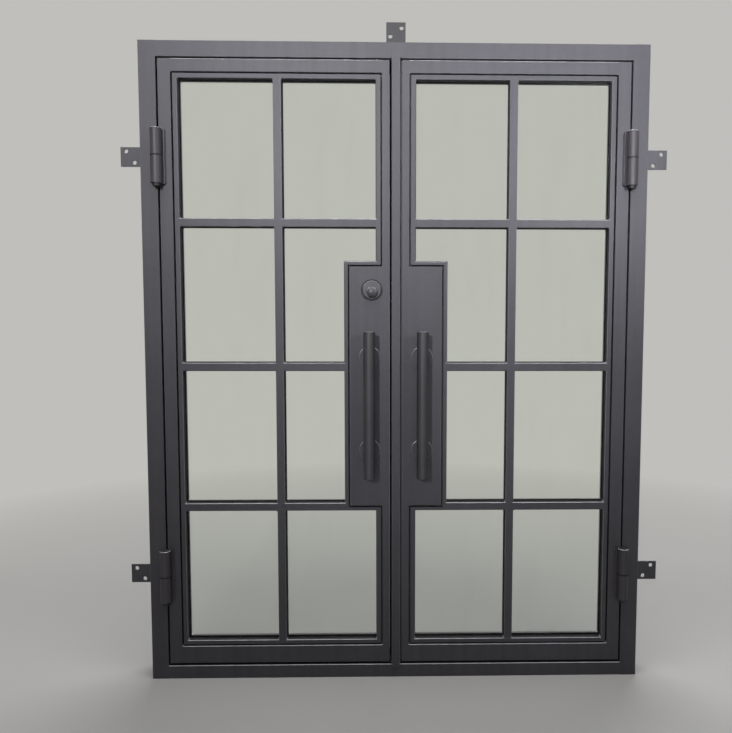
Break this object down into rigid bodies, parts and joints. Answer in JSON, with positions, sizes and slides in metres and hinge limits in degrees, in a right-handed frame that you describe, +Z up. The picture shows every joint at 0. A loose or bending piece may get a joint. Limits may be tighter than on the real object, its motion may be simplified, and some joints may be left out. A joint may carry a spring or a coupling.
{
  "type": "french doors",
  "caption": "Pair of glazed steel leaves with glazing bars, pull bars and a deadbolt, hung on barrel hinges in a steel tube frame that fills a wall opening.",
  "frame": {"origin": "on the underside of the sill, under the middle of the leaf thickness, where the leaves meet", "axes": "+X to the right seen from the pull side, +Y away from the pull side, +Z up"},
  "size_m": [1.774, 0.222, 2.17],
  "materials": {
    "frame_paint": "satin dark bronze-black paint",
    "leaf_paint": "satin dark bronze-black paint",
    "hinge_paint": "satin dark paint",
    "pin_black": "blackened steel",
    "lock_paint": "satin dark bronze",
    "pull_black": "matt black powder coat",
    "steel": "plain steel",
    "rubber": "black seal",
    "glass": "clear glass with a slight green tint",
    "spacer": "dark anodised"
  },
  "bodies": {
    "frame": {"left_jamb": "frame_paint", "right_jamb": "frame_paint", "head": "frame_paint", "sill": "frame_paint", "left_stop": "frame_paint", "right_stop": "frame_paint", "head_stop": "frame_paint", "left_seal": "rubber", "right_seal": "rubber", "head_seal": "rubber", "top_tab": "frame_paint", "left_tabs": "frame_paint", "right_tabs": "frame_paint", "left_jamb_knuckles": "hinge_paint", "right_jamb_knuckles": "hinge_paint", "hinge_pins": "pin_black", "hinge_washers": "pin_black", "bolt_keeps": "steel"},
    "left_leaf": {"left_hinge_stile": "leaf_paint", "left_meeting_stile": "leaf_paint", "left_top_rail": "leaf_paint", "left_bottom_rail": "leaf_paint", "left_lock_panel": "leaf_paint", "left_sash_core": "leaf_paint", "left_front_grid": "leaf_paint", "left_rear_grid": "leaf_paint", "left_glass": "glass", "left_spacer": "spacer", "left_leaf_knuckles": "hinge_paint", "left_front_pull": "pull_black", "left_rear_pull": "pull_black", "left_roses": "leaf_paint", "left_sweep": "rubber", "lock_case": "steel", "face_plate": "steel", "turn_rose": "lock_paint", "key_cylinder": "lock_paint"},
    "right_leaf": {"right_hinge_stile": "leaf_paint", "right_meeting_stile": "leaf_paint", "right_top_rail": "leaf_paint", "right_bottom_rail": "leaf_paint", "right_lock_panel": "leaf_paint", "right_sash_core": "leaf_paint", "right_front_grid": "leaf_paint", "right_rear_grid": "leaf_paint", "right_glass": "glass", "right_spacer": "spacer", "right_leaf_knuckles": "hinge_paint", "right_front_pull": "pull_black", "right_rear_pull": "pull_black", "right_roses": "leaf_paint", "right_sweep": "rubber", "meeting_bar": "leaf_paint", "meeting_cover": "leaf_paint", "strike_plate": "steel"},
    "thumbturn": {"thumbturn": "lock_paint"},
    "deadbolt": {"deadbolt": "steel"},
    "top_bolt": {"top_bolt": "steel"},
    "bottom_bolt": {"bottom_bolt": "steel"}
  },
  "joints": [
    {"name": "left_leaf_swing", "type": "hinge", "parent": "frame", "child": "left_leaf", "pos_m": [-0.767, -0.05, 1.053], "axis": [0, 0, -1], "range_deg": [0, 165]},
    {"name": "right_leaf_swing", "type": "hinge", "parent": "frame", "child": "right_leaf", "pos_m": [0.767, -0.05, 1.053], "axis": [0, 0, 1], "range_deg": [0, 165]},
    {"name": "thumbturn_turn", "type": "hinge", "parent": "left_leaf", "child": "thumbturn", "pos_m": [-0.07896, -0.048, 1.30925], "axis": [0, 1, 0], "range_deg": [0, 90]},
    {"name": "deadbolt_slide", "type": "slide", "parent": "left_leaf", "child": "deadbolt", "axis": [1, 0, 0], "range_m": [0, 0.0255]},
    {"name": "top_bolt_slide", "type": "slide", "parent": "right_leaf", "child": "top_bolt", "axis": [0, 0, 1], "range_m": [0, 0.02]},
    {"name": "bottom_bolt_slide", "type": "slide", "parent": "right_leaf", "child": "bottom_bolt", "axis": [0, 0, -1], "range_m": [0, 0.02]}
  ],
  "couplings": [
    {"joint": "deadbolt_slide", "follows": "thumbturn_turn", "m_per_rad": 0.015915}
  ]
}
